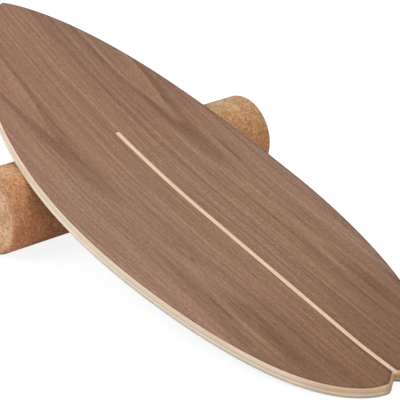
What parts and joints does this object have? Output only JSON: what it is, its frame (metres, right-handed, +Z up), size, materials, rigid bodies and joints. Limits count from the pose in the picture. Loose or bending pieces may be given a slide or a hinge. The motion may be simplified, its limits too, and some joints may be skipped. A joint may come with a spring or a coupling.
{
  "type": "balance roller board",
  "caption": "Layered wooden balance board with a fish tail and an inlaid stripe, resting on a loose cork roller that rolls under it.",
  "frame": {"origin": "on the floor, under the middle of the whole object's box, with the board's tail and the roller both on the floor", "axes": "+X along the board from tail to nose, +Y along the roller towards its near end, +Z up"},
  "size_m": [0.724, 0.398, 0.2044],
  "materials": {
    "walnut_veneer": "satin",
    "maple_inlay": "satin",
    "pale_ply": "matte",
    "cross_ply": "matte",
    "grey_ply": "matte",
    "underside_veneer": "matte",
    "cork": "matte",
    "beech": "matte"
  },
  "bodies": {
    "board": {"top_veneer": "walnut_veneer", "stringer_inlay": "maple_inlay", "core_ply_1": "pale_ply", "core_ply_2": "pale_ply", "core_ply_3": "cross_ply", "core_ply_4": "pale_ply", "core_ply_5": "grey_ply", "bottom_veneer": "underside_veneer"},
    "axle": {"roller_core": "beech"},
    "roller": {"cork_sleeve": "cork", "near_end_plug": "cork", "far_end_plug": "cork"}
  },
  "joints": [
    {"name": "roller_travel", "type": "hinge", "parent": "board", "child": "axle", "pos_m": [-0.37168, 0, 1.72952], "axis": [0, -1, 0], "range_deg": [-5.2, 6.4]},
    {"name": "roller_spin", "type": "hinge", "parent": "axle", "child": "roller", "pos_m": [0.13208, 0, 0.04994], "axis": [0, -1, 0], "range_deg": [-177.2, 218.1]}
  ],
  "couplings": [
    {"joint": "roller_spin", "follows": "roller_travel", "ratio": 34.064}
  ]
}
